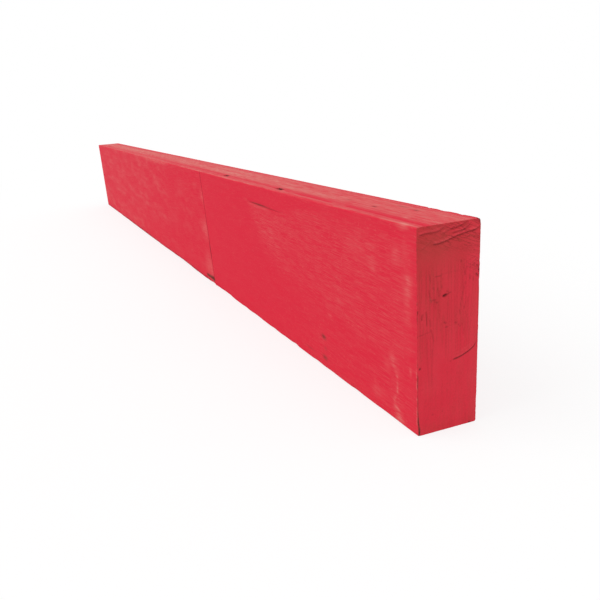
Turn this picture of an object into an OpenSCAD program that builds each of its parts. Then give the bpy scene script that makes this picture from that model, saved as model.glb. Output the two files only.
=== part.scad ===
// Laminated veneer lumber beam, standing on its narrow edge.
// One glued billet of rotary-peeled veneers, all with the grain along the beam, sawn to size
// and painted.  X runs along the beam, Y across the glued veneers, Z up the depth.
// The origin is in the middle of the bottom edge.  The painted end described here is at +X and
// the face with the butt joint is at -Y.

/* [Beam] */
// Length of the beam
beam_l = 1500; // [900:50:6000]
// Depth of the beam, from its bottom edge up to its top edge
beam_d = 150; // [100:5:400]
// Thickness of the beam, across the glue lines
beam_t = 50; // [39:1:90]
// Radius worn and sanded onto the four long arrises
arris_r = 1.5; // [0.5:0.1:3]

/* [Veneers] */
// Number of veneers glued together across the thickness
veneers = 14; // [11:1:25]

/* [Face joint] */
// Distance of the front face veneers' butt joint from the +X end, at the top edge
joint_top_at = 528; // [100:5:700]
// Distance of that joint from the +X end, at the bottom edge
joint_foot_at = 512; // [100:5:700]
// Width of the gap left between the two face veneers
joint_w = 1.2; // [0.6:0.1:2]
// Depth of that gap below the face, under its paint
joint_deep = 0.8; // [0.3:0.1:1.4]

/* [Chip at the foot of the face joint] */
// Length of the chip along the bottom arris
chip_l = 42; // [10:1:60]
// Height of the chip above the bottom edge
chip_h = 9; // [4:0.5:15]
// Depth of the chip below the face
chip_deep = 1.2; // [0.5:0.1:1.5]

/* [Open core joints] */
// Distances of the open core joints on the top edge from the +X end
gap_at = [262, 436]; // [50:1:850]
// Veneer that each open core joint is in, counted from the front face
gap_veneer = [3, 3]; // [2:1:10]
// Length of an open core joint along the beam
gap_l = 12; // [4:1:20]
// Width of an open core joint across the glue lines
gap_w = 2.4; // [1:0.1:3]
// Depth of an open core joint below the top edge
gap_deep = 6; // [3:0.5:15]

/* [Hidden] */
$fn = 48;
clear = 1;                         // how far a cutting tool stands out of the stock
veneer_t = beam_t / veneers;
end_x = beam_l / 2;
face_y = -beam_t / 2;

// Place along X of the middle of the face joint, at a height z above the bottom edge.
function joint_x(z) =
    end_x - joint_foot_at - (joint_top_at - joint_foot_at) * z / beam_d;

// Cross-section in Y and Z: a rectangle with its corners eased to arris_r.
module section() {
    for (side = [-1, 1], z = [arris_r, beam_d - arris_r])
        translate([side * (beam_t / 2 - arris_r), z]) circle(r = arris_r);
    translate([-beam_t / 2 + arris_r, 0]) square([beam_t - 2 * arris_r, beam_d]);
    translate([-beam_t / 2, arris_r]) square([beam_t, beam_d - 2 * arris_r]);
}

// The sawn billet, drawn out along X.
module billet() {
    translate([-beam_l / 2, 0, 0])
        rotate([90, 0, 90]) linear_extrude(height = beam_l) section();
}

// Cutter that is drawn in X and Z on the front face and sinks to a depth below it.
module sink(deep) {
    translate([0, face_y + deep, 0]) rotate([90, 0, 0]) linear_extrude(height = deep + clear)
        children();
}

// Slot where the ends of two face veneers meet without touching, a little out of square.
module face_joint() {
    low = -clear;
    high = beam_d + clear;
    sink(joint_deep)
        polygon([[joint_x(low) - joint_w / 2, low], [joint_x(low) + joint_w / 2, low],
                 [joint_x(high) + joint_w / 2, high], [joint_x(high) - joint_w / 2, high]]);
}

// Splintered corner of the farther face veneer, at the foot of the joint: a wedge that
// stands highest against the joint and runs out along the bottom arris.
module joint_chip() {
    sink(chip_deep)
        polygon([[joint_x(0), -clear], [joint_x(chip_h), chip_h],
                 [joint_x(0) - chip_l, 0], [joint_x(0) - chip_l, -clear]]);
}

// Open ends of core veneers, seen in the top edge as short slots between two glue lines.
module core_gaps() {
    for (i = [0 : len(gap_at) - 1])
        translate([end_x - gap_at[i] - gap_l / 2,
                   face_y + (gap_veneer[i] - 0.5) * veneer_t - gap_w / 2,
                   beam_d - gap_deep])
            cube([gap_l, gap_w, gap_deep + clear]);
}

module beam() {
    color([0.80, 0.20, 0.25])
        difference() {
            billet();
            face_joint();
            joint_chip();
            core_gaps();
        }
}

beam();
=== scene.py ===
"""Laminated veneer lumber beam: a glued veneer billet, sawn to size, painted red and worn.

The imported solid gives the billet's size and place.  The piece made here stands for it and adds
what handling and the paint brush left on a real one.  Lengths are in millimetres until a mesh
is made: along the beam from its painted near end, across it from its front face, and up.
"""

import bpy
import numpy as np
from mathutils import Matrix, Vector


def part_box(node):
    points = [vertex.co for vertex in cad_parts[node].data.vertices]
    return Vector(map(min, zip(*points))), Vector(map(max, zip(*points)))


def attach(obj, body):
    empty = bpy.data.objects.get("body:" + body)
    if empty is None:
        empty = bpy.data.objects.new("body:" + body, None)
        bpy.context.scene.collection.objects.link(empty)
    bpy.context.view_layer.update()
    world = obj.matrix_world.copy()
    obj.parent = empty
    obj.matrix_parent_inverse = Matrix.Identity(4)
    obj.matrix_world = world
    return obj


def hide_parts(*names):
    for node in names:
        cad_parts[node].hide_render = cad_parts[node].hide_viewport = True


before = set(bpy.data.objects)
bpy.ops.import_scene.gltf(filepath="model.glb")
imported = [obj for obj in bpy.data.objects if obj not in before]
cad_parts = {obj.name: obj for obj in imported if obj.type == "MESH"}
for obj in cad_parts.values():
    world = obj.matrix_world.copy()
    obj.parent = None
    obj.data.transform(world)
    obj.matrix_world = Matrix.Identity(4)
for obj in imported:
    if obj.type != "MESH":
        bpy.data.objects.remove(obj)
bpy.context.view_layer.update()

MM = 0.001
low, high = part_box("beam")
LENGTH, THICK, DEPTH = ((high - low) / MM)[:]

# ==== Camera ==========================================================
# It stands beyond the near end and in front of the beam, a little above it, and looks back
# along the beam's length with a slight roll.
CAMERA_AT = (375.9, -234.5, 233.9)         # beyond the end, before the face, above the floor
YAW, PITCH, ROLL = np.radians([-68.49, 21.11, -4.20])
LENS, SENSOR = 41.13, 36.0                 # focal length, and width of what it falls on
RISE = 0.10                                # the view is raised by this share of its width

ahead = Vector((np.sin(YAW) * np.cos(PITCH), np.cos(YAW) * np.cos(PITCH), -np.sin(PITCH)))
level = Vector((np.cos(YAW), -np.sin(YAW), 0.0))
upward = level.cross(ahead)
right = level * np.cos(ROLL) + upward * np.sin(ROLL)
top = upward * np.cos(ROLL) - level * np.sin(ROLL)
camera = bpy.data.objects.new("camera", bpy.data.cameras.new("camera"))
camera.data.lens = LENS
camera.data.sensor_width = SENSOR
camera.data.shift_y = RISE
camera.data.clip_start = 0.01
turn = Matrix((right, top, -ahead)).transposed()
place = Vector((high.x, low.y, low.z)) + Vector(CAMERA_AT) * MM
camera.matrix_world = Matrix.Translation(place) @ turn.to_4x4()
bpy.context.scene.collection.objects.link(camera)
bpy.context.scene.camera = camera

# ==== Beam: the billet's surface ======================================
# One billet of veneers pressed and glued with all their grain lengthwise, ripped to depth and
# cross-cut with a saw.  Its skin is a grid round the eased section and along the beam, closed
# by a grid over each sawn end.
ARRIS_R = 1.5                              # easing of the four long edges, as on the solid
END_R = 0.4                                # easing of the end's own edges by saw and paint
UP_STEPS, ACROSS_STEPS = 136, 46


def graded(length, steps, crowds):
    """Places of steps + 1 lines from 0 to length, closer where there is more to show.

    Line density is 1 plus, for each crowd, strength / (1 + (distance / reach)^4), and the
    lines stand where the running total of the density reaches equal shares of the whole.
    """
    s = np.linspace(0.0, length, 60001)
    density = np.ones_like(s)
    for centre, reach, strength in crowds:
        density += strength / (1.0 + ((s - centre) / reach) ** 4)
    total = np.concatenate([[0.0], np.cumsum(density[1:] + density[:-1])])
    return np.interp(np.linspace(0.0, total[-1], steps + 1), total, s)


def eased_side(run, width, radius):
    """One side of the section, from the middle of one eased corner to the middle of the next.

    Over a corner the tilt away from the side's own normal goes between 45 degrees and 0 in
    step with the run; there, along = radius - radius sin(tilt) from that corner, and the
    surface is sunk by radius - radius cos(tilt).  Returns along, sunk and the signed tilt.
    """
    arc = radius * np.pi / 4
    whole = width - 2 * radius + 2 * arc
    first = np.clip(arc - run, 0.0, None) / radius
    last = np.clip(run - (whole - arc), 0.0, None) / radius
    along = np.clip(run - arc, 0.0, width - 2 * radius) + radius
    along = along - radius * np.sin(first) + radius * np.sin(last)
    return along, radius - radius * np.cos(first + last), first - last


def halved(places):
    """The places with one more put midway between each two neighbours."""
    out = np.empty(2 * len(places) - 1)
    out[0::2], out[1::2] = places, (places[1:] + places[:-1]) / 2
    return out


def section_loop(front, over, rear, under):
    """The closed loop round the section: up the front, over the top, down the rear, back
    under.  Each side's last point is the next side's first, so it is left out.  Returns
    across, up and the outward normal's across and up parts."""
    loops = []
    for run, width, side in ((front, DEPTH, 0), (over, THICK, 1), (rear, DEPTH, 2), (under, THICK, 3)):
        s, sunk, tilt = (a[:-1] for a in eased_side(run, width, ARRIS_R))
        c, t = np.cos(tilt), np.sin(tilt)
        loops.append([(sunk, s, -c, -t), (s, DEPTH - sunk, -t, c),
                      (THICK - sunk, DEPTH - s, c, t), (THICK - s, sunk, t, -c)][side])
    return np.array([np.concatenate(part) for part in zip(*loops)])


side_up = DEPTH - 2 * ARRIS_R + ARRIS_R * np.pi / 2
side_over = THICK - 2 * ARRIS_R + ARRIS_R * np.pi / 2
# Crowds of lines: reach and strength at an eased edge, and place, reach and strength at the
# face's chipped foot, at its crack and at the groove in the top edge.
EASED_EDGE = (2.0, 6.0)
CHIPPED_FOOT, CRACK, GROOVE = (4.5, 6.0, 1.2), (128.5, 1.6, 3.0), (8.2, 3.4, 3.0)
edges_up = [(0, *EASED_EDGE), (side_up, *EASED_EDGE)]
edges_over = [(0, *EASED_EDGE), (side_over, *EASED_EDGE)]
run_front = graded(side_up, UP_STEPS, edges_up + [CHIPPED_FOOT, CRACK])
run_rear = graded(side_up, UP_STEPS, edges_up)
run_over = graded(side_over, ACROSS_STEPS, edges_over + [GROOVE])
run_under = graded(side_over, ACROSS_STEPS, edges_over)

# Three loops: a fine one for the near end, a plain one for the far end, and for the length one
# that has half as many lines behind and below, where there is less to show.
fine = section_loop(halved(run_front), halved(run_over), halved(run_rear), halved(run_under))
plain = section_loop(run_front, run_over, run_rear, run_under)
slim = section_loop(run_front, run_over, run_rear[::2], run_under[::2])
keep_plain = np.arange(0, fine.shape[1], 2)
seen = UP_STEPS + ACROSS_STEPS
keep_slim = np.concatenate([np.arange(seen), np.arange(seen, plain.shape[1], 2)])

# Cross-cuts of the skin: crowded at the near end, at the face joint, at the open core joints
# and at the knots, and wide apart towards the far end.
JOINT_TOP, JOINT_FOOT = 528.0, 512.0       # the face joint's distance from the near end
JOINT_MID = (JOINT_TOP + JOINT_FOOT) / 2
VENEERS = 14
VENEER_T = THICK / VENEERS
GAPS_AT, GAP_VENEER = (262.0, 436.0), 3    # the open core joints and the veneer they are in
GAP_L, GAP_W = 12.0, 2.4
gap_lines = np.array([-7.4, -6.2, -5.6, -4.0, 0.0, 4.0, 5.6, 6.2, 7.4])
cuts = np.unique(np.concatenate([
    np.geomspace(2.2, 14.0, 12),
    np.linspace(15.6, 106.0, 52),
    np.linspace(108.0, 240.0, 38),
    np.linspace(244.0, 484.0, 42),
    *(gap + gap_lines for gap in GAPS_AT),
    np.linspace(488.0, JOINT_MID - 2.5, 9),
    JOINT_MID + np.array([-1.6, -1.0, -0.7, -0.5, -0.2, 0.2, 0.5, 0.7, 1.0, 1.6]),
    np.linspace(JOINT_MID + 2.5, 560.0, 14),
    np.geomspace(566.0, LENGTH - 6.0, 36)]).round(3))
# The rings of the skin in order along the beam, with the loop that each one follows.
stations = [(fine, [0.0, END_R * 0.3, END_R, 1.0]), (plain, [1.6]), (slim, cuts),
            (plain, [LENGTH - 3.0, LENGTH - 1.0, LENGTH - END_R, LENGTH - END_R * 0.3, LENGTH])]

across, up, along, n_across, n_up, rings = [], [], [], [], [], []
made = 0
for loop, places in stations:
    for a in places:
        to_end = min(a, LENGTH - a)
        inset = END_R - np.sqrt(END_R**2 - max(END_R - to_end, 0.0) ** 2)
        across.append(loop[0] - inset * loop[2])
        up.append(loop[1] - inset * loop[3])
        along.append(np.full(loop.shape[1], a))
        n_across.append(loop[2])
        n_up.append(loop[3])
        rings.append(made + np.arange(loop.shape[1]))
        made += loop.shape[1]


def sewn(near, far):
    """Faces between two rings with the same number of points."""
    return np.stack([near, np.roll(near, -1), np.roll(far, -1), far], 1)


def stepped(many, few, kept, many_first):
    """Faces between a ring of many points and one of few, each standing at a kept place of
    the other.  Where one place is skipped, three triangles bridge it; elsewhere a square."""
    n = len(many)
    gap = np.diff(np.append(kept, n))
    nxt, here = np.roll(few, -1), many[kept]
    one, two = gap == 1, gap == 2
    after, last = many[(kept + 1) % n], many[(kept + 2) % n]
    quads = np.stack([here, after, nxt, few], 1)[one]
    tris = np.concatenate([np.stack([here, after, few], 1)[two],
                           np.stack([after, nxt, few], 1)[two],
                           np.stack([after, last, nxt], 1)[two]])
    return (quads, tris) if many_first else (quads[:, ::-1], tris[:, ::-1])


def end_grid(ring, ups, overs, start):
    """Point numbers of the grid that closes an end, rows going up and columns across; its
    rim is the ring itself and its inner points are numbered from start."""
    grid = np.empty((ups + 1, overs + 1), int)
    grid[1:-1, 1:-1] = start + np.arange((ups - 1) * (overs - 1)).reshape(ups - 1, overs - 1)
    grid[:, 0] = ring[:ups + 1]
    grid[-1, :] = ring[ups:ups + overs + 1]
    grid[::-1, -1] = ring[ups + overs:2 * ups + overs + 1]
    grid[0, ::-1] = np.append(ring, ring[0])[2 * ups + overs:]
    return grid


def stretched_over(rim_values, ups, overs):
    """Coons patch: inside the rim, the blend of left and right sides plus the blend of bottom
    and top sides, less the blend of the four corners."""
    ring = np.append(rim_values, rim_values[0])
    front, over = ring[:ups + 1], ring[ups:ups + overs + 1]
    rear, under = ring[ups + overs:2 * ups + overs + 1][::-1], ring[2 * ups + overs:][::-1]
    v = np.linspace(0, 1, ups + 1)[:, None]
    u = np.linspace(0, 1, overs + 1)[None, :]
    sides = (1 - u) * front[:, None] + u * rear[:, None] + (1 - v) * under + v * over
    corners = ((1 - u) * (1 - v) * under[0] + u * (1 - v) * under[-1]
               + (1 - u) * v * over[0] + u * v * over[-1])
    return (sides - corners)[1:-1, 1:-1].ravel()


quads, tris = [], []
count = 0
for (loop, places), (next_loop, _) in zip(stations, stations[1:] + [(None, None)]):
    for k in range(len(places) - 1):
        quads.append(sewn(rings[count + k], rings[count + k + 1]))
    count += len(places)
    if next_loop is not None:
        near, far = rings[count - 1], rings[count]
        kept = keep_plain if loop is fine else keep_slim
        if len(near) > len(far):
            q, t = stepped(near, far, kept, True)
        else:
            q, t = stepped(far, near, kept, False)
        quads.append(q)
        tris.append(t)

for which, ring, factor, outward in ((0, rings[0], 2, 1), (len(rings) - 1, rings[-1], 1, -1)):
    ups, overs = factor * UP_STEPS, factor * ACROSS_STEPS
    inner = (ups - 1) * (overs - 1)
    across.append(stretched_over(across[which], ups, overs))
    up.append(stretched_over(up[which], ups, overs))
    along.append(np.full(inner, along[which][0]))
    n_across.append(np.zeros(inner))
    n_up.append(np.zeros(inner))
    grid = end_grid(ring, ups, overs, made)
    made += inner
    square = np.stack([grid[:-1, :-1], grid[:-1, 1:], grid[1:, 1:], grid[1:, :-1]], -1)
    quads.append(square.reshape(-1, 4)[:, ::outward])

along, across, up = map(np.concatenate, (along, across, up))
n_across, n_up = map(np.concatenate, (n_across, n_up))
quads, tris = np.concatenate(quads), np.concatenate(tris)

# The cross-cuts near the face joint lean with it, and straighten again farther away.
LEAN_REACH = 45.0
lean = (JOINT_TOP - JOINT_FOOT) * (up / DEPTH - 0.5) * (1 - across / THICK)
along += lean * np.exp(-((along - JOINT_MID) / LEAN_REACH) ** 2)

# Outward normals: the section's own along the length, turning to face outwards over the eased
# edge of each end.
turn_near = np.clip((END_R - along) / END_R, 0, 1)
turn_far = np.clip((END_R - (LENGTH - along)) / END_R, 0, 1)
n_along = turn_far - turn_near
flat = np.sqrt(1 - n_along**2)
n_across, n_up = n_across * flat, n_up * flat
on_front, on_rear = np.clip(-n_across, 0, 1) ** 2, np.clip(n_across, 0, 1) ** 2
on_top, on_under = np.clip(n_up, 0, 1) ** 2, np.clip(-n_up, 0, 1) ** 2
on_near, on_far = turn_near**2, turn_far**2

# ==== Beam: joints, saw marks and knocks ==============================
# Relief that the press, the saw, the brush and handling left, as a rise in millimetres along the outward
# normal, and beside it how far each place is rubbed pale, bare or dirty, with painted shade in cracks,
# holes and folds and painted highlights on ridges.
rise, pale_and_highlights, bare, dirt_and_shade = np.zeros((4, len(along)))


def ease(x, start, end):
    """0 before start, 1 after end, and 3 w^2 - 2 w^3 between them."""
    w = np.clip((x - start) / (end - start), 0, 1)
    return w * w * (3 - 2 * w)


def between(x, start, full, fading, end):
    """Eases from 0 at start up to 1 at full, and from 1 at fading back to 0 at end."""
    return ease(x, start, full) * (1 - ease(x, fading, end))


def hump(x, at, reach, power=2):
    """1 at a place and less beside it: exp of minus (distance / reach)^power."""
    return np.exp(-((x - at) / reach) ** power)


def spot(u, v, at_u, at_v, reach_u, reach_v):
    """A soft spot: exp of minus the squared distance in reaches, 1 at its middle."""
    return np.exp(-((u - at_u) / reach_u) ** 2 - ((v - at_v) / reach_v) ** 2)


def mottle(u, v, cell_u, cell_v, seed):
    """Smooth random field between -1 and 1: a random value at each corner of a lattice of
    cell_u by cell_v, eased from corner to corner."""
    size = 128
    lattice = np.random.default_rng(seed).uniform(-1, 1, (size, size))
    u, v = u / cell_u + size / 2, v / cell_v + size / 2
    iu, iv = np.floor(u).astype(int), np.floor(v).astype(int)
    wu, wv = ease(u - iu, 0, 1), ease(v - iv, 0, 1)

    def at(du, dv):
        return lattice[(iu + du) % size, (iv + dv) % size]

    return ((at(0, 0) * (1 - wu) + at(1, 0) * wu) * (1 - wv)
            + (at(0, 1) * (1 - wu) + at(1, 1) * wu) * wv)


def wavering(u, cell, seed):
    """The same field along one direction only."""
    return mottle(u, 0 * u, cell, 1, seed)


def stroke(u, v, start, end, width, bow=0.0):
    """A soft line from start to end, bowed sideways as 4 share (1 - share), thinning to
    nothing at both tips; 1 on the line and exp(-(off / width)^2) beside it."""
    du, dv = end[0] - start[0], end[1] - start[1]
    reach = np.hypot(du, dv)
    share = ((u - start[0]) * du + (v - start[1]) * dv) / reach**2
    off = ((v - start[1]) * du - (u - start[0]) * dv) / reach - bow * 4 * share * (1 - share)
    taper = between(share, -0.05, 0.12, 0.88, 1.05)
    return hump(off, 0, width * (0.45 + 0.55 * taper)) * taper


def through(u, places):
    """The one polynomial in u that passes through the given places."""
    us, vs = np.array(places).T
    mid = us.mean()
    return np.polyval(np.polyfit(us - mid, vs, len(us) - 1), u - mid)


# Faces: the outer veneers follow the core a little, and shrink back from the open joint.
JOINT_DEEP, SHRUNK = 0.75, 0.14            # depth of the joint and of the veneer shrunk beside it
core = 0.05 * mottle(along, up, 70, 30, 1) + 0.03 * mottle(along, up, 30, 4, 2)
rise += (on_front + on_rear) * (core - 0.05)
off_joint = along - (JOINT_FOOT + (JOINT_TOP - JOINT_FOOT) * up / DEPTH)
shrunk = SHRUNK * ease(off_joint, 0.4, 0.9) * np.exp(-np.clip(off_joint, 0, None) / 40)
rise -= on_front * (JOINT_DEEP * hump(off_joint, 0, 0.62, 4) + shrunk)
gathered = hump(up, 48, 13)
line = hump(off_joint, 0.2, 1.0 + 0.25 * wavering(up, 9, 15) + 0.5 * gathered, 4)
dirt_and_shade = np.maximum(dirt_and_shade, on_front * line * (0.24 + 0.20 * ease(up, 24, 38) + 0.34 * gathered))
smear = 0.9 * spot(off_joint, up, 12, 20, 18, 17) + 0.8 * spot(off_joint, up, 6, 118, 7, 7)
smear += 0.9 * spot(off_joint, up, 12, 73, 16, 11)
smear *= ease(off_joint, 0.6, 1.6) * (0.24 + 0.06 * mottle(along, up, 9, 22, 3))
pale_and_highlights = np.maximum(pale_and_highlights, on_front * smear)

# The chip at the foot of the joint: bare fibres, deepest against the joint.
CHIP_L, CHIP_H, CHIP_DEEP = 42.0, 9.0, 1.2
chip_top = CHIP_H * (1 - 0.5 * off_joint / CHIP_L) + 0.9 * mottle(along, up, 4, 30, 4)
chip = ease(off_joint, -0.7, -0.2) * ease(chip_top - up, 0.0, 0.7) * (off_joint < CHIP_L)
chip *= on_front + on_under * (1 - ease(off_joint, 8, 30))
rise -= chip * CHIP_DEEP * (0.75 + 0.25 * mottle(along, up, 14, 0.9, 5))
bared_h = 4.3 - 0.075 * np.clip(off_joint, 0, CHIP_L)
unpainted = between(off_joint, 0.5, 2.5, 34, 42) * hump(up, 7.0 + 0.03 * off_joint, bared_h, 4)
bare = np.maximum(bare, on_front * unpainted)
dirt_and_shade = np.maximum(dirt_and_shade, on_front * unpainted * (0.10 + 0.45 * (1 - ease(off_joint, 4, 24))))

# A crack along the grain of the face veneer, splintered where it gapes, with dust below it.
CRACK_DEEP = 0.7
crack_up = through(along, [(236, 130.6), (263, 130.3), (289, 130.9), (315, 131.2), (339, 132.0)])
crack = hump(up, crack_up, 0.34 + 0.5 * hump(along, 301, 24)) * between(along, 231, 256, 332, 344)
rise -= on_front * CRACK_DEEP * crack
splintered = crack * hump(along, 303, 26)
bare = np.maximum(bare, on_front * 0.65 * splintered)
# Painted shade darkens the crack, most where it gapes and splinters.
dirt_and_shade = np.maximum(dirt_and_shade, on_front * (0.30 * crack + 0.22 * splintered))
under_crack = between(crack_up - up, 0.4, 1.4, 2.0, 5.0) * between(along, 262, 290, 332, 342)
pale_and_highlights = np.maximum(pale_and_highlights, on_front * 0.11 * under_crack)

# Knots, chips and dark flecks: their place along, then up the face or across the top edge, their reach
# both ways, and how deep, how bare and how dark they are.
FACE_MARKS = ((157.0, 29.8, 3.4, 1.8, 0.5, 0.8, 0.6), (156.5, 9.9, 4.0, 2.2, 0.4, 0.6, 0.3),
              (154.1, 19.5, 3.0, 1.4, 0.15, 0.25, 0.1), (190.0, 9.2, 9.0, 1.0, 0.15, 0.25, 0.05),
              (99.2, 1.5, 5.0, 1.2, 0.3, 0.25, 0.0), (606.0, 100.0, 3.0, 5.0, 0.2, 0.25, 0.2),
              (20.5, 126.0, 0.7, 0.7, 0.1, 0.1, 0.15))
TOP_MARKS = ((144.2, 23.7, 4.5, 0.8, 0.3, 0.2, 0.75), (96.4, 22.8, 3.2, 1.0, 0.4, 0.4, 0.7),
             (57.0, 35.8, 3.6, 0.8, 0.6, 0.3, 0.95), (50.0, 36.0, 5.0, 0.5, 0.3, 0.1, 0.40),
             (79.0, 37.0, 7.0, 0.7, 0.3, 0.1, 0.40))
for side, v, marks in ((on_front, up, FACE_MARKS), (on_top, across, TOP_MARKS)):
    for at, at_v, reach, reach_v, sunk, wood, dark in marks:
        mark = side * spot(along, v, at, at_v, reach, reach_v)
        rise -= sunk * mark
        bare = np.maximum(bare, wood * mark)
        dirt_and_shade = np.maximum(dirt_and_shade, dark * mark)

# Top edge: the veneers' sawn edges stand a little unevenly, with a groove at the second glue
# line, and two core joints stand open.
GROOVE_DEEP, GAP_DEEP = 0.28, 4.5
ply = across / VENEER_T
uneven = 0.05 * mottle(np.floor(ply) * 10, along, 10, 160, 6) + 0.04 * mottle(along, across, 40, 1.3, 7)
glue_lines = hump(ply, np.round(ply), 0.35 / VENEER_T)
rise += (on_top + on_under) * (uneven - 0.06 * glue_lines - 0.08)
second = hump(across, 2 * VENEER_T, 0.75) * (1 - 0.75 * ease(along, 120, 420))
rise -= on_top * GROOVE_DEEP * second * (0.8 + 0.3 * mottle(along, across, 25, 5, 8))
gap_across = (GAP_VENEER - 0.5) * VENEER_T
for gap in GAPS_AT:
    hole = hump(along, gap, GAP_L / 2, 8) * hump(across, gap_across, GAP_W / 2, 6)
    rise -= on_top * GAP_DEEP * hole
    # Painted shade darkens the mouth of each open joint.
    mouth_shade = hump(along, gap, GAP_L / 2 + 1.0, 8) * hump(across, gap_across - 0.1, GAP_W / 2 + 1.3, 8)
    dirt_and_shade = np.maximum(dirt_and_shade, on_top * mouth_shade)

# The rear arris of the top edge is nicked near the end, and its very corner is knocked off.
nicks = np.clip(wavering(along, 3.4, 9) + 0.15, 0, 1) * (1 - ease(along, 55, 85))
rear_top = spot(across, up, THICK, DEPTH, 1.8, 1.8)
rise -= 0.6 * rear_top * nicks * ease(along, 3, 12)
dirt_and_shade = np.maximum(dirt_and_shade, 0.85 * rear_top * ease(nicks, 0.25, 0.6))
rear_line = on_top * hump(across, THICK - 1.2, 0.8) * (1 - ease(along, 20, 34))
dirt_and_shade = np.maximum(dirt_and_shade, 0.6 * rear_line * np.clip(0.7 + 0.5 * mottle(along, across, 3, 2, 43), 0, 1))
corner = np.sqrt((THICK - across) ** 2 + (DEPTH - up) ** 2 + along**2)
rise -= 0.5 * hump(corner, 0, 2.2)
dirt_and_shade = np.maximum(dirt_and_shade, 0.8 * hump(corner, 0, 2.6))

# The bottom front arris wanders where it was ripped, and is knocked back here and there.
knocked = 0.10 + 0.45 * np.clip(wavering(along, 16, 10), 0, 1)
for at, reach, much in ((229, 6, 0.9), (466, 22, 1.0), (700, 55, 1.2)):
    knocked += much * hump(along, at, reach)
rise -= spot(across, up, 0, 0, 3.5, 3.5) * knocked * ease(along, 8, 34)

# The rear foot corner of the end is rubbed back a little.
rise -= 0.9 * on_rear * (1 - ease(up, 3, 26)) * (1 - ease(along, 0, 16))

# Sawn end: the veneers show as faint upright bands, and the brush dragged the paint over them.
bands = 0.03 * np.sin(2 * np.pi * ply + 1.4 * mottle(across, up, 9, 30, 11))
drag = 0.04 * mottle(across, up, 1.6, 24, 12) + 0.05 * mottle(across, up, 1.2, 1.8, 13)
sawn_plain = between(up, 48, 64, 116, 130)
rise += on_near * (bands * (0.3 + 0.7 * sawn_plain) + drag - 0.15)
rise += on_far * (bands + drag - 0.15)


def lip(off, width, height):
    """A raised lip above a line and a sink below it: height (off / width) exp(-(off/width)^2)
    scaled so that its crest is the height."""
    x = off / width
    return height * 2.33 * x * np.exp(-x * x)


# Ridges of thick paint dragged across the head of the end and up beside its rear arris: the line's places
# across and up, where it starts and ends, its width, its height and how dark the painted shade under it
# is.
RIDGES = (
    ([(12.4, 137.7), (22.5, 138.6), (32.1, 141.1), (39.9, 142.4), (46.5, 142.9)], 11, 48, 1.0, 0.60, 0.85),
    ([(1.0, 144.0), (5.7, 145.3), (12.1, 145.3), (18.1, 146.3)], 0.5, 22, 1.0, 0.45, 0.6),
    ([(19.0, 143.6), (24.0, 145.0), (30.0, 148.2)], 18, 31, 0.8, 0.30, 0.35),
    ([(26.8, 146.1), (31.9, 146.7), (37.1, 148.6)], 25, 38, 0.8, 0.40, 0.7),
    ([(28.1, 143.3), (33.0, 143.8), (37.8, 145.2), (41.7, 147.9)], 26, 43, 0.8, 0.45, 0.75),
    ([(32.0, 142.4), (37.2, 144.2), (41.0, 145.4)], 31, 43, 0.6, 0.30, 0.5),
    ([(43.0, 143.0), (47.0, 143.8), (49.6, 145.2)], 42, 50, 0.8, 0.45, 0.8),
    ([(1.5, 134.0), (7.0, 137.0), (12.0, 140.5)], 1, 14, 0.8, 0.15, 0.2),
    ([(37.9, 117.4), (41.8, 120.2), (48.0, 123.4)], 36, 49, 0.6, 0.18, 0.3),
    ([(40.6, 117.5), (44.5, 119.7), (49.0, 122.0)], 39, 50, 0.6, 0.18, 0.3),
    ([(36.5, 120.5), (40.4, 122.7), (46.0, 125.3)], 35, 48, 0.6, 0.16, 0.25))
fold_highlight, fold_shade_and_dark = np.zeros((2, len(along)))
for places, start, end, width, height, dark in RIDGES:
    off = up - through(across, places)
    span = between(across, start, start + 3, end - 3, end)
    rise += on_near * lip(off, width, height) * span
    # Each ridge gets a painted highlight above its crest and painted shade below it.
    fold_highlight += span * height * hump(off, 0.8 * width, 0.9 * width)
    fold_shade_and_dark += span * dark * hump(off, -0.55 * width, 0.65 * width)

# A curved gouge near the foot: the tool lifted a lip of paint and wood above the cut.
GOUGE_FROM, GOUGE_UP, GOUGE_DEEP, FLAP_HIGH = 28.0, 53.8, 0.55, 0.34
share = np.clip((across - GOUGE_FROM) / (THICK - GOUGE_FROM), 0, 1)
off = up - (GOUGE_UP + 8.4 * share**1.8 + 11.0 * share**18)
span = ease(across, GOUGE_FROM, GOUGE_FROM + 3)
flap = span * between(off, -0.1, 0.5, 3.8, 5.2) * (0.35 + 0.65 * ease(across, 30, 38))
rise += on_near * (flap * (FLAP_HIGH - 0.10 * off) - GOUGE_DEEP * span * hump(off, -0.55, 0.55))
# Painted shadow fills the cut under the lip; a thin line of painted shade crosses the flap, and painted
# highlights run just above the cut and along the flap's upper edge.
dirt_and_shade = np.maximum(dirt_and_shade, on_near * span * 0.70 * hump(off, -0.45, 0.66, 4))
fold_shade_and_dark += span * 0.12 * ease(across, 30, 33) * hump(off, 2.4, 0.6)
fold_highlight += span * (0.25 * hump(off, 1.0, 0.6) + 0.175 * hump(off, 3.9, 0.6))
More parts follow.
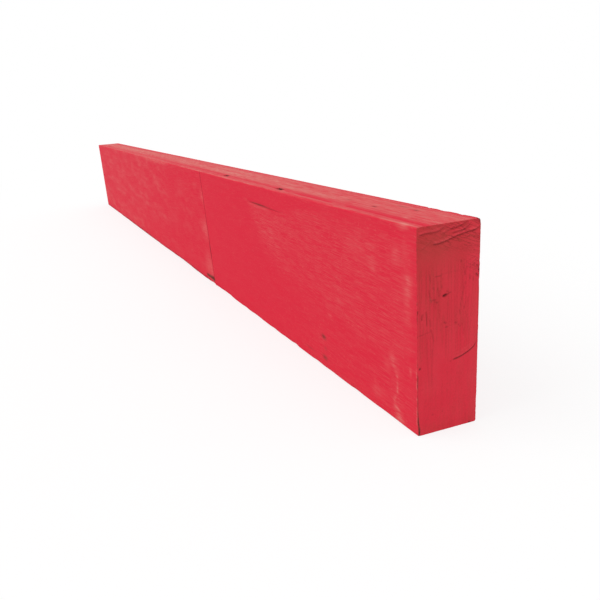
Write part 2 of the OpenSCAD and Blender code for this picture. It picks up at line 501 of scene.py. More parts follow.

# Fine cracks, nicks and pits of the end: where each starts and ends, across and up, its half width, depth
# and darkness, which is painted shade in it, and its bow if it is curved.
END_MARKS = (
    (0.8, 93.8, 0.2, 91.0, 0.5, 0.5, 0.6), (4.1, 90.3, 3.8, 86.6, 0.5, 0.4, 0.45),
    (3.6, 90.4, 5.3, 90.4, 0.4, 0.3, 0.35), (7.1, 92.8, 7.6, 81.6, 0.4, 0.4, 0.42, 0.3),
    (10.1, 86.4, 10.8, 81.0, 0.35, 0.3, 0.3), (10.6, 79.4, 13.4, 69.0, 0.4, 0.3, 0.25, 0.3),
    (0.0, 75.8, 12.6, 78.0, 0.35, 0.25, 0.2, -0.3), (20.7, 100.6, 23.9, 101.8, 0.85, 1.4, 1.0),
    (23.0, 101.4, 27.2, 103.0, 0.35, 0.3, 0.5), (23.0, 104.2, 25.2, 103.4, 0.35, 0.2, 0.4),
    (11.9, 99.8, 15.2, 99.2, 0.4, 0.2, 0.4), (13.5, 98.7, 16.6, 96.8, 0.5, 0.2, 0.35),
    (13.6, 115.2, 19.2, 115.5, 0.4, 0.2, 0.35), (19.5, 116.0, 33.0, 116.6, 0.35, 0.15, 0.12, 0.3),
    (34.3, 123.8, 35.2, 121.9, 0.5, 0.2, 0.4), (45.0, 120.4, 46.4, 118.7, 0.5, 0.3, 0.4),
    (47.0, 118.9, 48.8, 117.2, 0.5, 0.4, 0.6), (49.2, 115.8, 50.0, 112.8, 0.6, 0.5, 0.7),
    (46.9, 112.9, 49.0, 110.4, 0.6, 0.5, 0.65), (37.8, 116.6, 38.4, 112.5, 0.35, 0.2, 0.35),
    (41.6, 113.4, 42.3, 109.0, 0.35, 0.2, 0.35), (44.4, 110.4, 44.9, 107.9, 0.35, 0.2, 0.35),
    (38.9, 109.6, 33.6, 83.8, 0.4, 0.25, 0.3, -0.5), (38.7, 94.4, 37.6, 88.6, 0.35, 0.2, 0.3),
    (9.9, 117.4, 10.7, 112.0, 0.35, 0.2, 0.3), (19.0, 116.8, 20.2, 112.2, 0.35, 0.2, 0.3),
    (19.1, 109.4, 20.4, 105.2, 0.35, 0.2, 0.3), (16.2, 107.8, 17.4, 101.0, 0.35, 0.2, 0.3),
    (12.2, 108.5, 13.8, 106.4, 0.4, 0.2, 0.3), (9.3, 107.2, 10.2, 101.2, 0.35, 0.2, 0.3),
    (21.0, 82.8, 23.8, 80.9, 0.5, 0.3, 0.45), (22.8, 78.9, 24.9, 78.0, 0.5, 0.3, 0.5),
    (30.5, 80.8, 31.6, 79.7, 0.5, 0.3, 0.4), (33.4, 79.2, 34.7, 76.6, 0.4, 0.3, 0.35),
    (7.8, 72.5, 9.3, 36.5, 0.4, 0.15, 0.18), (11.9, 66.0, 11.7, 36.0, 0.4, 0.15, 0.18),
    (1.2, 51.5, 3.0, 52.0, 0.6, 0.5, 0.8), (43.5, 1.0, 45.0, 0.2, 0.7, 0.5, 0.8),
    (11.8, 14.6, 12.6, 14.2, 0.5, 0.2, 0.35), (20.3, 15.3, 21.1, 15.1, 0.5, 0.2, 0.3),
    (26.8, 52.6, 27.6, 52.4, 0.5, 0.2, 0.3), (49.0, 149.6, 49.6, 145.8, 0.6, 0.2, 0.6))
for start_a, start_u, end_a, end_u, width, sunk, dark, *bow in END_MARKS:
    mark = on_near * stroke(across, up, (start_a, start_u), (end_a, end_u), width, *bow)
    rise -= sunk * mark
    dirt_and_shade = np.maximum(dirt_and_shade, dark * mark)

# The paint stands in crumbs along the head's arris and down the rear one, which is torn in places. A line
# of painted shade lies just under the head's crumbs, the rear arris is darker higher up, and both go with
# the ridges' painted shade into the end's colour.
at_head, at_rear = hump(up, DEPTH, 1.1), hump(across, THICK, 0.8)
rise += on_near * 0.16 * mottle(across, up, 0.9, 0.9, 16) * np.maximum(at_head, at_rear)
torn = between(up, 100, 106, 122, 128) * np.clip(wavering(up, 2.2, 17), 0, 1)
rise -= 0.35 * at_rear * torn * hump(along, 0, 1.5)
fold_shade_and_dark += 0.38 * hump(up, DEPTH - 1.3, 0.7) * np.clip(0.35 + mottle(across, up, 1.6, 9, 18), 0, 1)
fold_shade_and_dark += 0.35 * at_rear * ease(up, 60, 100)
dirt_and_shade = np.maximum(dirt_and_shade, on_near * 0.55 * np.clip(fold_shade_and_dark, 0, 1))

# A pale brown splinter of wood shows beside the notch.
splinter = on_near * stroke(across, up, (10.2, 101.2), (11.8, 98.0), 0.8)
bare = np.maximum(bare, 0.5 * splinter)

# Paint is worn through to bare brown wood down the front arris of the end, most near its foot.
worn_at = 1.5 * (1 - ease(up, 0, 20)) + 0.3 * wavering(up, 3.0, 46)
worn_through = 0.62 + 0.3 * (1 - ease(up, 12, 20)) - 0.55 * ease(up, 46, 54)
worn = hump(across, worn_at, 0.62) * hump(along, 0, 0.75)
worn *= np.clip(worn_through + 0.30 * wavering(up, 2.6, 14), 0.08, 1.1)
rise -= 0.3 * worn
bare = np.maximum(bare, worn)
dirt_and_shade = np.maximum(dirt_and_shade, 0.6 * worn)

# The end keeps a little back, so that its ridges stay within the sawn length.
HIGHEST, KEPT_BACK = 0.30, 0.33
rise = np.where(on_near > 0.5, np.minimum(rise, HIGHEST), rise)
kept_back = KEPT_BACK * (1 - ease(along, 0, 6))
points = np.stack([high.x / MM - along - kept_back - rise * n_along,
                   low.y / MM + across + rise * n_across,
                   low.z / MM + up + rise * n_up], 1) * MM
points = np.clip(points, np.array(low), np.array(high))     # nothing stands proud of the billet

# ==== Beam: where the paint is dusty, thin or hatched =================
# Broad tones of the paint, as shares: dust of the chalky bloom, which also carries painted highlights on
# the end and painted shade in the top edge's groove, hairs of the fine pale scratches that run with the
# grain, and a darker share for paint that looks darker, lessened where highlights are painted.
far_veneer = ease(off_joint, 0.5, 3.0)
evenly = ease(along + 12 * wavering(up, 18, 47), 712, 760)
blotches = 0.5 * mottle(along, up, 64, 10, 21) + 0.5 * mottle(along, up, 24, 4, 22)
blotches += 0.5 * mottle(along, up, 13, 8, 44)
face_dust = 0.022 + 0.022 * (1 - ease(along, 90, 330))
face_dust += far_veneer * (0.002 + 0.026 * evenly + (0.06 + 0.11 * evenly) * blotches)
face_dust -= far_veneer * 0.012 * (1 - evenly) * ease(up, 84, 98)
face_dust += ease(along, 1180, 1250) * (0.008 + 0.014 * ease(up, 60, 95))
face_dust -= 0.075 * stroke(along / 4, up, (158, 87), (165, 3), 2.6, 8.0)
# Patches with more or less dust: along, up, reach both ways, and how much more.
for at, at_up, reach, reach_up, more in (
        (1207, 32, 42, 9, 0.070), (1400, 16, 110, 9, 0.070), (993, 107, 32, 6, 0.049),
        (1250, 132, 60, 14, 0.028), (636, 117, 34, 14, 0.028), (640, 62, 14, 16, 0.035),
        (1470, 76, 90, 7, -0.040), (1340, 48, 140, 13, -0.025), (1140, 61, 28, 6, -0.050),
        (893, 27, 30, 7, -0.050), (767, 30, 24, 14, -0.050), (1195, 115, 26, 22, -0.030),
        (927, 107, 30, 6, -0.040), (704, 122, 22, 26, -0.060)):
    face_dust += more * spot(along, up, at, at_up, reach, reach_up)

# Handling has scuffed the near face in a wedge of fine pale hairs along the grain: it is broad
# at the near end and comes to a tip under the crack.
wedge_top = 141.5 - 10.5 * ease(along, 185, 255)
wedge_foot = np.interp(along, [0, 60, 140, 208, 260, 305, 342], [46, 46, 54, 68, 76, 92, 122])
wedge = ease(up, wedge_foot - 14, wedge_foot + 16) * (1 - ease(up, wedge_top - 5, wedge_top + 2))
wedge *= ease(along, 3, 12) * (1 - ease(along - 0.25 * (up - 125), 314, 350))
wedge *= (0.70 + 0.45 * ease(along, 205, 290)) * (1 + 0.32 * mottle(along, up, 34, 8, 23))
specked = 0.30 * (1 - ease(along, 120, 330)) * (1 - 0.4 * ease(up, 8, 60))
specked += 0.55 * spot(along, up, 160, 20, 13, 13) + 0.6 * spot(along, up, 36, 20, 26, 22)
streaky = np.clip(mottle(along, up, 26, 7, 48) - 0.1, 0, 1)
specked += 0.5 * streaky * ease(along, 350, 372) * ease(up, 88, 104)
dust_and_painted_light = on_front * (face_dust + 0.026 * wedge)
hairs = on_front * np.clip(0.12 + 0.66 * np.maximum(wedge, specked) + 0.3 * far_veneer, 0, 1)

# The rear face has only quiet dust and hairs.
dust_and_painted_light += on_rear * (0.07 + 0.05 * mottle(along, up, 80, 18, 24) + 0.04 * mottle(along, up, 25, 6, 25))
hairs += on_rear * (0.30 + 0.25 * mottle(along, up, 60, 14, 26))

# On the ends the same share marks where the sawn veneers show as fine upright lines, and slant
# marks where the saw's own slanting marks show.
upright = sawn_plain * (0.66 + 0.22 * mottle(across, up, 7, 16, 38)) * (1 - 0.4 * ease(across, 40, 47))
upright += 0.34 * (1 - ease(up, 40, 60))
hairs += on_near * np.clip(upright, 0, 1) + 0.5 * on_far
slant = ease(up, 124, 140) * (0.45 + 0.55 * ease(across, 16, 28)) + 0.8 * spot(across, up, 46, 119, 9, 9)
slant *= on_near

# Rubbed places of the face: beside the near arris, and a scuff down to the foot.
beside = spot(along, up, 11.5, 109, 5.0, 8.5) + 0.35 * spot(along, up, 13, 92, 5, 9)
beside += 0.22 * spot(along, up, 14.5, 132, 5, 9)
pale_and_highlights = np.maximum(pale_and_highlights, on_front * 0.25 * beside * (0.75 + 0.9 * mottle(along, up, 4, 3, 27)))
edge_line = hump(along, 1.4, 0.9) * between(up, 2, 10, 44, 62)
edge_line *= np.clip(0.7 + 0.8 * wavering(up, 2.2, 49), 0, 1.3)
pale_and_highlights = np.maximum(pale_and_highlights, on_front * 0.20 * edge_line)
scrape = spot(along, up, 19, 148.5, 8.0, 2.2) * ease(along - 1.2 * (up - 148), 6, 11)
pale_and_highlights = np.maximum(pale_and_highlights, on_front * 0.30 * scrape * (0.9 + 0.2 * mottle(along, up, 6, 2, 50)))
scuff_at = np.interp(up, [0, 4, 12, 17, 24, 38, 48], [24.0, 25.5, 29.5, 33.0, 28.0, 28.2, 34.0])
scuff_w = 1.3 + 4.5 * (1 - ease(up, 4, 19)) + 4.5 * ease(up, 36, 43)
scuff = hump(along, scuff_at, scuff_w) * (1 - 0.5 * ease(up, 36, 41)) * (1 - ease(up, 48, 58))
scuff *= 1 - 0.45 * hump(up, 21.5, 2.5)
scuff *= np.clip(0.60 + 0.8 * mottle(along, up, 5, 0.9, 28) + 0.3 * mottle(along, up, 9, 5, 52), 0, 1.2)
pale_and_highlights = np.maximum(pale_and_highlights, on_front * 0.40 * scuff)
for at, at_up, reach, reach_up, much in (
        (58.6, 13.7, 9, 4, 0.15), (42.3, 42, 5, 4, 0.12), (27.7, 128.4, 5, 6, 0.15),
        (61, 112.5, 4, 3, 0.12), (9.4, 47, 1.2, 3.0, 0.25), (141.2, 54.3, 3.5, 1.0, 0.25),
        (345, 132.5, 4, 1.2, 0.15), (87, 124, 14, 7, 0.07)):
    pale_and_highlights = np.maximum(pale_and_highlights, on_front * much * spot(along, up, at, at_up, reach, reach_up))
spilt = between(along, 700, 740, 820, 960) * ease(up, 143, 148.5)
pale_and_highlights = np.maximum(pale_and_highlights, on_front * 0.20 * spilt)

# The foot of the face is rubbed bare far along; beyond the joint a thin dark line of painted shade runs
# along the foot's arris and onto the underside.
scraped = between(along, 930, 990, 1140, 1180) * hump(up, 0, 3.0)
bare = np.maximum(bare, 0.8 * scraped * (0.6 + 0.5 * mottle(along, up, 30, 3, 29)))
dirt_and_shade = np.maximum(dirt_and_shade, 0.35 * scraped)
foot_shade = hump(np.minimum(up, across + up * 0.5), 0, 1.6) * ease(off_joint, 0, 40) * (on_front + on_under)
dirt_and_shade = np.maximum(dirt_and_shade, 0.55 * foot_shade * np.clip(0.8 + 0.4 * wavering(along, 22, 45), 0, 1))

# Top edge: reddest over the first veneers and along the rear arris, chalky between, and
# chalkier with distance.
lanes = 0.5 * mottle(along, across, 140, 4.5, 31) + 0.5 * mottle(along, across, 45, 1.7, 32)
chalk_less_groove_shade = 0.27 + 0.34 * ease(across, 10, 20) - 0.24 * ease(across, 34, 45)
chalk_less_groove_shade -= 0.12 * (1 - ease(along, 20, 260))
chalk_less_groove_shade += 0.05 * (1 - ease(along, 150, 260)) * ease(across, 34, 42)
chalk_less_groove_shade += (0.10 - 0.22 * ease(across, 30, 42)) * ease(along, 600, 1200) + 0.10 * lanes
for at, at_across, reach, reach_across, less in (
        (171, 38, 14, 4, 0.10), (132, 21, 14, 7, 0.14), (735, 21, 26, 6, 0.14), (120, 24, 190, 9, 0.12)):
    chalk_less_groove_shade -= less * spot(along, across, at, at_across, reach, reach_across)
ragged = THICK - across + 0.9 * wavering(along, 14, 39) + 0.6 * wavering(along, 4, 40)
chalk_less_groove_shade -= 0.50 * (1 - ease(ragged, 1.2, 4.2))
wander = 0.5 * wavering(along, 20, 41)
# The groove by the second glue line is kept redder: partly less dust, partly painted shade.
groove_red_and_shade = hump(across, 7.7 + wander, 1.25, 4)
groove_red_and_shade *= 1 - ease(along, 104, 122) + 0.7 * between(along, 138, 150, 200, 230)
red_band = hump(across, 10.6 + wander, 2.6, 4) * ease(along, 130, 190)
red_band *= (1 - 0.5 * ease(along, 700, 1100)) * (0.8 + 0.4 * mottle(along, across, 40, 4, 51))
chalk_less_groove_shade += 0.04 * hump(across, 4.2, 1.6, 4) - 0.6 * groove_red_and_shade - 0.16 * red_band
dust_and_painted_light += on_top * np.clip(chalk_less_groove_shade, 0.02, 1) + on_under * (0.25 + 0.12 * lanes)
arris_pale = (1 - ease(across, 1.6, 4.0)) * (1 - ease(DEPTH - up, 0.2, 0.8))
arris_pale *= np.clip(0.75 + 0.7 * mottle(along, across, 16, 0.8, 42), 0, 1.3)
dust_and_painted_light += 0.34 * arris_pale * (0.7 + 0.5 * wavering(along, 30, 33)) * (1 - ease(along, 900, 1200))
dust_and_painted_light -= 0.5 * on_top * spot(along, across, 571.6, 29.0, 12, 2.5)
rubbed = spot(along, across, 17.5, 1.8, 7.0, 1.7) * (0.85 + 0.3 * mottle(along, across, 9, 0.8, 34))
pale_and_highlights = np.maximum(pale_and_highlights, 0.85 * (on_top + on_front) * ease(up, 146.5, 149) * rubbed)
pale_and_highlights = np.maximum(pale_and_highlights, on_top * 0.7 * spot(along, across, 37.5, 14.4, 3.0, 1.0))

# Ends: the near end is darkened most under the dragged head, more towards its front side higher up and a
# little at its foot, with a random tone; it is lighter down the rear side and along its bottom edge, and
# the far end is evenly a little darker. The ridges and the gouge's flap are lighter: painted highlights.
end_darkening_less_highlights = 0.54 * ease(up, 108, 140) - 0.22 * ease(up, 138, 149)
end_darkening_less_highlights += 0.34 * ease(up, 20, 116) * (1 - ease(across, 14, 40)) + 0.12 * (1 - ease(up, 0, 12))
end_darkening_less_highlights -= 0.60 * ease(across, 37, 46) * ease(up, 10, 50) * (1 - 0.6 * ease(up, 100, 130))
end_darkening_less_highlights += 0.10 * mottle(across, up, 11, 30, 35) + 0.05 * mottle(across, up, 3, 5, 37)
# Painted highlights: lighter over the ridges' crests and the gouge's flap.
end_darkening_less_highlights -= 0.8 * np.clip(fold_highlight + 1.2 * flap, 0, 1) + 0.4 * hump(up, 0, 1.2)
deep = on_near * end_darkening_less_highlights + 0.25 * on_far
end_dust_and_highlight = 0.108 + 0.02 * mottle(across, up, 7, 12, 36)
# A little paler on the gouge's flap, as a painted highlight, and down the rear side.
end_dust_and_highlight += 0.030 * np.clip(flap + ease(across, 38, 46), 0, 1)
dust_and_painted_light += on_near * end_dust_and_highlight + on_far * 0.06
# Painted highlights above the ridges' crests, as a pale share.
pale_and_highlights = np.maximum(pale_and_highlights, on_near * 0.14 * np.clip(fold_highlight, 0, 1))

mesh = bpy.data.meshes.new("beam_billet")
mesh.from_pydata(points.tolist(), [], quads.tolist() + tris.tolist())
mesh.shade_smooth()
mesh.set_sharp_from_angle(angle=np.radians(40))
for name, share in (("dust_and_painted_light", dust_and_painted_light), ("hairs", hairs), ("pale_and_highlights", pale_and_highlights), ("bare", bare), ("dirt_and_shade", dirt_and_shade),
                    ("deep", deep), ("slant", slant)):
    layer = mesh.attributes.new(name, "FLOAT", "POINT")
    layer.data.foreach_set("value", np.clip(share, 0, 1).astype(np.float32))
beam = bpy.data.objects.new("beam_billet", mesh)
bpy.context.scene.collection.objects.link(beam)
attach(beam, "root")
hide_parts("beam")

# ==== Beam: paint =====================================================
# One coat of thin red paint.  It keeps the grain of the peeled faces, lies in stripes over the sawn edges
# of the veneers, and drags over the sawn ends; chalk, bare wood and dirt lie on it, and shade and
# highlights are painted into it at cracks, holes, the end's ridges and the gouge.
PAINT_RED = (0.680, 0.0140, 0.0420, 1)
DARKENED_RED = (0.440, 0.0240, 0.0260, 1)
CHALKY_AND_HIGHLIT_RED = (0.692, 0.200, 0.178, 1)
RUBBED_AND_HIGHLIT_PINK = (0.740, 0.260, 0.225, 1)
BARE_WOOD = (0.290, 0.072, 0.055, 1)
WOOD_FIBRE = (0.1595, 0.0396, 0.03025, 1)
DIRT_AND_SHADE_BROWN = (0.085, 0.018, 0.016, 1)
PAINT_ROUGH, CHALK_ADDS, BARE_ADDS = 0.72, 0.15, 0.2      # roughness, and what lies on it adds
PAINT_GLOSS = 0.08


def put(tree, kind, inputs, **settings):
    """Adds a node with the given settings; an input that is a socket is linked, and any other
    is written in."""
    node = tree.nodes.new(kind)
    for name, value in settings.items():
        setattr(node, name, value)
    for key, value in inputs.items():
        if isinstance(value, bpy.types.NodeSocket):
            tree.links.new(value, node.inputs[key])
        else:
            node.inputs[key].default_value = value
    return node


def sums(tree, operation, values, clamp=False):
    """One step of arithmetic on two or three values."""
    inputs = dict(enumerate(values))
    return put(tree, "ShaderNodeMath", inputs, operation=operation, use_clamp=clamp).outputs[0]


def plus(tree, a, b, clamp=False):
    """a + b, held between 0 and 1 if it is clamped."""
    return sums(tree, "ADD", (a, b), clamp)


def times(tree, a, b, clamp=False):
    """a b, held between 0 and 1 if it is clamped."""
    return sums(tree, "MULTIPLY", (a, b), clamp)


def blend(tree, share, under, over):
    """The colour under, covered with the colour over by the share."""
    node = put(tree, "ShaderNodeMix", {0: share, 6: under, 7: over}, data_type="RGBA")
    return node.outputs[2]


def eased(tree, value, start, end, first=0.0, last=1.0):
    """first at start, last at end, and an S-shaped passage between them."""
    return put(tree, "ShaderNodeMapRange", {
        "Value": value, "From Min": start, "From Max": end, "To Min": first, "To Max": last},
        interpolation_type="SMOOTHSTEP").outputs[0]


def painted_share(tree, name):
    """A share painted on the mesh, by its name."""
    return put(tree, "ShaderNodeAttribute", {}, attribute_name=name).outputs["Fac"]


# Shader group: noise stretched into streaks, cut off below Thin and full above Full.  Raw is the
# noise itself, and Lines are thin lines where it passes through its middle value.
streaks = bpy.data.node_groups.new("stretched_streaks", "ShaderNodeTree")
for name, kind, default in (("Cells per metre", "Vector", (1, 1, 1)), ("Thin", "Float", 0.4),
                            ("Full", "Float", 0.6), ("Lean", "Vector", (0, 0, 0))):
    socket = streaks.interface.new_socket(name, in_out="INPUT", socket_type="NodeSocket" + kind)
    socket.default_value = default
for name in ("Streaks", "Raw", "Lines"):
    streaks.interface.new_socket(name, in_out="OUTPUT", socket_type="NodeSocketFloat")
given = streaks.nodes.new("NodeGroupInput").outputs
result = streaks.nodes.new("NodeGroupOutput").inputs
object_place = put(streaks, "ShaderNodeTexCoord", {}).outputs["Object"]
leant = put(streaks, "ShaderNodeVectorRotate", {"Vector": object_place, "Rotation": given["Lean"]},
            rotation_type="EULER_XYZ").outputs[0]
stretched = put(streaks, "ShaderNodeVectorMath", {0: leant, 1: given["Cells per metre"]},
                operation="MULTIPLY").outputs[0]
noise = put(streaks, "ShaderNodeTexNoise", {"Vector": stretched, "Scale": 1.0, "Detail": 2.0,
                                            "Roughness": 0.55}).outputs["Fac"]
LINE_CORE, LINE_RIM = 0.012, 0.045         # how far off the middle value a line is full, and gone
off_middle = sums(streaks, "ABSOLUTE", (sums(streaks, "SUBTRACT", (noise, 0.5)),))
streaks.links.new(eased(streaks, noise, given["Thin"], given["Full"]), result["Streaks"])
streaks.links.new(noise, result["Raw"])
streaks.links.new(eased(streaks, off_middle, LINE_CORE, LINE_RIM, 1.0, 0.0), result["Lines"])

# Shader group: the coat of paint with what lies on it and shows through it, and the shade and highlights
# painted into it.
coat = bpy.data.node_groups.new("worn_coat_and_painted_light", "ShaderNodeTree")
for name in ("Chalk and painted light", "Rubbed and highlit", "Darkening", "Bare", "Dirt and shade", "Fibre"):
    coat.interface.new_socket(name, in_out="INPUT", socket_type="NodeSocketFloat")
coat.interface.new_socket("Colour", in_out="OUTPUT", socket_type="NodeSocketColor")
coat.interface.new_socket("Roughness", in_out="OUTPUT", socket_type="NodeSocketFloat")
given = coat.nodes.new("NodeGroupInput").outputs
result = coat.nodes.new("NodeGroupOutput").inputs
colour = blend(coat, given["Darkening"], PAINT_RED, DARKENED_RED)
colour = blend(coat, given["Chalk and painted light"], colour, CHALKY_AND_HIGHLIT_RED)
colour = blend(coat, given["Rubbed and highlit"], colour, RUBBED_AND_HIGHLIT_PINK)
colour = blend(coat, given["Bare"], colour, blend(coat, given["Fibre"], BARE_WOOD, WOOD_FIBRE))
colour = blend(coat, given["Dirt and shade"], colour, DIRT_AND_SHADE_BROWN)
coat.links.new(colour, result["Colour"])
rough = sums(coat, "MULTIPLY_ADD", (given["Chalk and painted light"], CHALK_ADDS, PAINT_ROUGH))
rough = plus(coat, rough, times(coat, given["Bare"], BARE_ADDS), True)
coat.links.new(rough, result["Roughness"])


def grain(tree, cells, thin, full, out="Streaks", lean=(0, 0, 0)):
    """The streaks group at one stretch, threshold and lean, in radians about the three axes."""
    node = put(tree, "ShaderNodeGroup", {}, node_tree=streaks)
    for key, value in (("Cells per metre", cells), ("Thin", thin), ("Full", full), ("Lean", lean)):
        node.inputs[key].default_value = value
    return node.outputs[out]


def paint_material(name, chalk_and_light_over, darkening_over, height_of, bump_mm):
    """A coat on one kind of surface, from three functions of its node tree: its share of chalk, with the
    painted highlights and shade that this carries in places; its share of darker paint, lessened where
    highlights are painted; and its relief."""
    material = bpy.data.materials.new(name)
    material.use_nodes = True
    tree = material.node_tree
    shader = tree.nodes["Principled BSDF"]
    shader.inputs["Specular IOR Level"].default_value = PAINT_GLOSS
    worn_coat_and_painted_light = put(tree, "ShaderNodeGroup", {
        "Chalk and painted light": chalk_and_light_over(tree), "Rubbed and highlit": rubbed_and_highlit_over(tree), "Darkening": darkening_over(tree),
        "Bare": painted_share(tree, "bare"), "Dirt and shade": painted_share(tree, "dirt_and_shade"),
        "Fibre": grain(tree, (40, 900, 900), 0.42, 0.62)}, node_tree=coat)
    tree.links.new(worn_coat_and_painted_light.outputs["Colour"], shader.inputs["Base Color"])
    tree.links.new(worn_coat_and_painted_light.outputs["Roughness"], shader.inputs["Roughness"])
    bump = put(tree, "ShaderNodeBump", {"Strength": 1.0, "Distance": bump_mm * MM,
                                        "Height": height_of(tree)})
    tree.links.new(bump.outputs["Normal"], shader.inputs["Normal"])
    return material


def rubbed_and_highlit_over(tree):
    """Rubbed places, and the painted highlights above the end's ridges, broken up by the grain that stands
    proud.
    """
    proud = plus(tree, grain(tree, (70, 1000, 1000), 0.30, 0.66), 0.40)
    return times(tree, painted_share(tree, "pale_and_highlights"), proud, True)


def face_chalk(tree):
    """Broad dust, fine specks and, in the hatched patch, fine hairs that follow the grain, which
    runs a little out of line with the beam."""
    fine = grain(tree, (52, 1, 1900), 0.485, 0.60, lean=(0, -0.034, 0))
    hatch = times(tree, times(tree, fine, painted_share(tree, "hairs")), 0.27)
    specks = times(tree, grain(tree, (280, 1, 560), 0.58, 0.70), 0.12)
    patchy = sums(tree, "MULTIPLY_ADD", (grain(tree, (20, 1, 130), 0.36, 0.64), 0.80, 0.56))
    broad = times(tree, painted_share(tree, "dust_and_painted_light"), patchy)
    return plus(tree, broad, plus(tree, hatch, specks), True)


def edge_chalk_and_shade(tree):
    """Dust lying in long thin streaks over the sawn veneers, broken by short red ones; the groove by the
    second glue line is kept redder, partly as painted shade.
    """
    long_streaks = times(tree, grain(tree, (5, 300, 1), 0.38, 0.62), 0.6)
    short_streaks = times(tree, grain(tree, (60, 700, 1), 0.40, 0.58), 0.75)
    mixed = plus(tree, plus(tree, long_streaks, short_streaks), 0.31)
    return times(tree, painted_share(tree, "dust_and_painted_light"), mixed, True)


def darkening_as_painted(tree):
    """The share painted on the mesh, as it is."""
    return painted_share(tree, "deep")


def end_chalk_and_highlight(tree):
    """Even, thin dust, a little more on the gouge's flap as a painted highlight and down the rear side."""
    return painted_share(tree, "dust_and_painted_light")


def end_lines(tree):
    """The sawn veneers' upright lines and the saw's slanting marks, where each one shows."""
    lines = times(tree, grain(tree, (1, 340, 15), 0, 1, "Lines"), painted_share(tree, "hairs"))
    marks = grain(tree, (1, 60, 640), 0, 1, "Lines", lean=(0.45, 0, 0))
    return lines, times(tree, marks, painted_share(tree, "slant"))


def end_darkening(tree):
    """The darker share painted on the mesh, lessened where highlights are painted, and darker still in
    fine upright lines, in slanting saw marks and in small pits.
    """
    lines, marks = end_lines(tree)
    pits = times(tree, grain(tree, (1, 640, 560), 0.54, 0.72), 0.18)
    darker = plus(tree, times(tree, lines, 0.37), times(tree, marks, 0.45))
    return plus(tree, painted_share(tree, "deep"), plus(tree, darker, pits), True)


def end_relief(tree):
    """Fine crumbs all over, less half of the lines and marks."""
    crumbly = times(tree, grain(tree, (1, 620, 560), 0, 1, "Raw"), 0.8)
    return sums(tree, "SUBTRACT", (crumbly, times(tree, plus(tree, *end_lines(tree)), 0.5)))


def face_relief(tree):
    """The long open grain of a peeled veneer."""
    return grain(tree, (18, 1, 700), 0, 1, "Raw")


def edge_relief(tree):
    """The sawn edges of the veneers, in long streaks."""
    return grain(tree, (6, 420, 1), 0, 1, "Raw")


mesh.materials.append(paint_material("paint_on_faces", face_chalk, darkening_as_painted, face_relief, 0.25))
mesh.materials.append(paint_material("paint_on_edges", edge_chalk_and_shade, darkening_as_painted, edge_relief, 0.45))
mesh.materials.append(paint_material("paint_on_ends", end_chalk_and_highlight, end_darkening, end_relief, 0.45))

# Each face of the mesh takes the finish of the side that it faces; the ends' finish stops just
# inside the saw cut.
FACES, EDGES, ENDS = 0, 1, 2
SQUARE_ON, CUT_IN = 0.72, 1.2
normal, centre = np.empty((2, len(mesh.polygons) * 3), np.float32)
mesh.polygons.foreach_get("normal", normal)
mesh.polygons.foreach_get("center", centre)
facing = np.abs(normal.reshape(-1, 3))
to_end = np.minimum(high.x - centre[::3], centre[::3] - low.x)
finish = np.where(facing[:, 2] > facing[:, 1], EDGES, FACES)
at_end = facing[:, 0] > SQUARE_ON
finish[at_end] = np.where(to_end[at_end] > CUT_IN * MM, FACES, ENDS)
mesh.polygons.foreach_set("material_index", finish.astype(np.int32))

# ==== Floor and light =================================================
# A wide pale floor, an even white studio all round, and two broad soft lamps, from the front and
# from beyond the near end.
FLOOR_HALF = 12.0
floor_mesh = bpy.data.meshes.new("floor")
floor_mesh.from_pydata([(-FLOOR_HALF, -FLOOR_HALF, 0), (FLOOR_HALF, -FLOOR_HALF, 0),
                        (FLOOR_HALF, FLOOR_HALF, 0), (-FLOOR_HALF, FLOOR_HALF, 0)], [], [(0, 1, 2, 3)])
floor = bpy.data.objects.new("floor", floor_mesh)
bpy.context.scene.collection.objects.link(floor)


def seen_directly(tree):
    """1 for what the camera sees, straight, mirrored or through glass."""
    path = put(tree, "ShaderNodeLightPath", {}).outputs
    indirect = sums(tree, "MAXIMUM", (path["Is Glossy Ray"], path["Is Transmission Ray"]))
    return sums(tree, "MAXIMUM", (path["Is Camera Ray"], indirect))


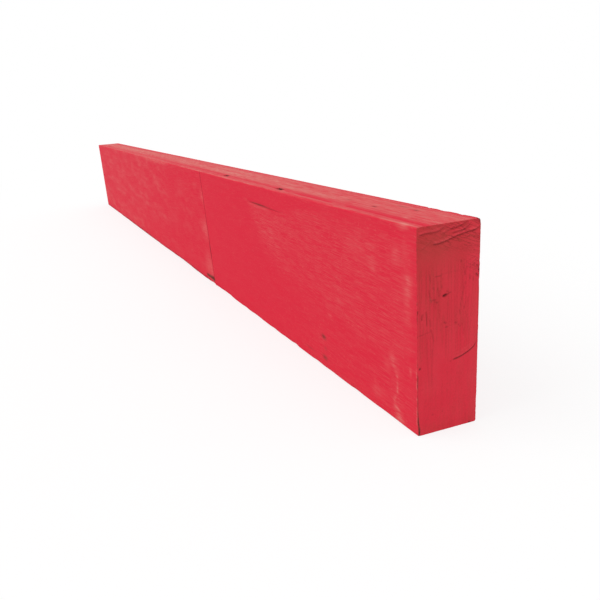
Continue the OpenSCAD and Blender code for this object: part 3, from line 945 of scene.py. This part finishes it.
# The floor keeps the beam's shadow close to it and turns to plain white farther away.
SHADOW_FROM, SHADOW_TO = 0.25, 0.9         # metres from the middle, across the beam
PLAIN_NEAR = 0.72                          # how plainly white the floor is beside the beam
ALONG_BEAM = 0.55                          # a metre along the beam counts as this much
pale_floor = bpy.data.materials.new("pale_floor")
pale_floor.use_nodes = True
tree = pale_floor.node_tree
tree.nodes.remove(tree.nodes["Principled BSDF"])
matt = put(tree, "ShaderNodeBsdfDiffuse", {"Color": (0.82, 0.82, 0.82, 1)})
matt_seen = put(tree, "ShaderNodeBsdfDiffuse", {"Color": (1.0, 1.0, 1.0, 1)})
white = put(tree, "ShaderNodeEmission", {"Color": (1, 1, 1, 1), "Strength": 1.0})
object_place = put(tree, "ShaderNodeTexCoord", {}).outputs["Object"]
flattened = put(tree, "ShaderNodeVectorMath", {0: object_place, 1: (ALONG_BEAM, 1.0, 1.0)},
                operation="MULTIPLY").outputs[0]
away = put(tree, "ShaderNodeVectorMath", {0: flattened}, operation="LENGTH").outputs["Value"]
fade = eased(tree, away, SHADOW_FROM, SHADOW_TO, PLAIN_NEAR, 1.0)
lit = put(tree, "ShaderNodeMixShader", {0: fade, 1: matt_seen.outputs[0], 2: white.outputs[0]})
shown = put(tree, "ShaderNodeMixShader", {0: seen_directly(tree), 1: matt.outputs[0], 2: lit.outputs[0]})
tree.links.new(shown.outputs[0], tree.nodes["Material Output"].inputs["Surface"])
floor_mesh.materials.append(pale_floor)

ROOM_LIGHT = 0.70
studio = bpy.data.worlds.new("studio")
bpy.context.scene.world = studio
studio.use_nodes = True
tree = studio.node_tree
background = tree.nodes["Background"]
background.inputs["Color"].default_value = (1, 1, 1, 1)
strength = put(tree, "ShaderNodeMapRange", {"Value": seen_directly(tree), "To Min": ROOM_LIGHT,
                                            "To Max": 1.0})
tree.links.new(strength.outputs[0], background.inputs["Strength"])

# Each lamp: its strength, how wide it looks in degrees, and where it stands from the beam.
for name, energy, angle, towards in (("front_lamp", 0.97, 60, (-0.25, -0.76, 0.60)),
                                     ("end_lamp", 0.60, 40, (0.70, -0.12, 0.70))):
    lamp = bpy.data.lights.new(name, "SUN")
    lamp.energy = energy
    lamp.angle = np.radians(angle)
    lamp_object = bpy.data.objects.new(name, lamp)
    lamp_object.rotation_euler = Vector(towards).to_track_quat("Z", "Y").to_euler()
    bpy.context.scene.collection.objects.link(lamp_object)

bpy.context.scene.view_settings.view_transform = "Standard"
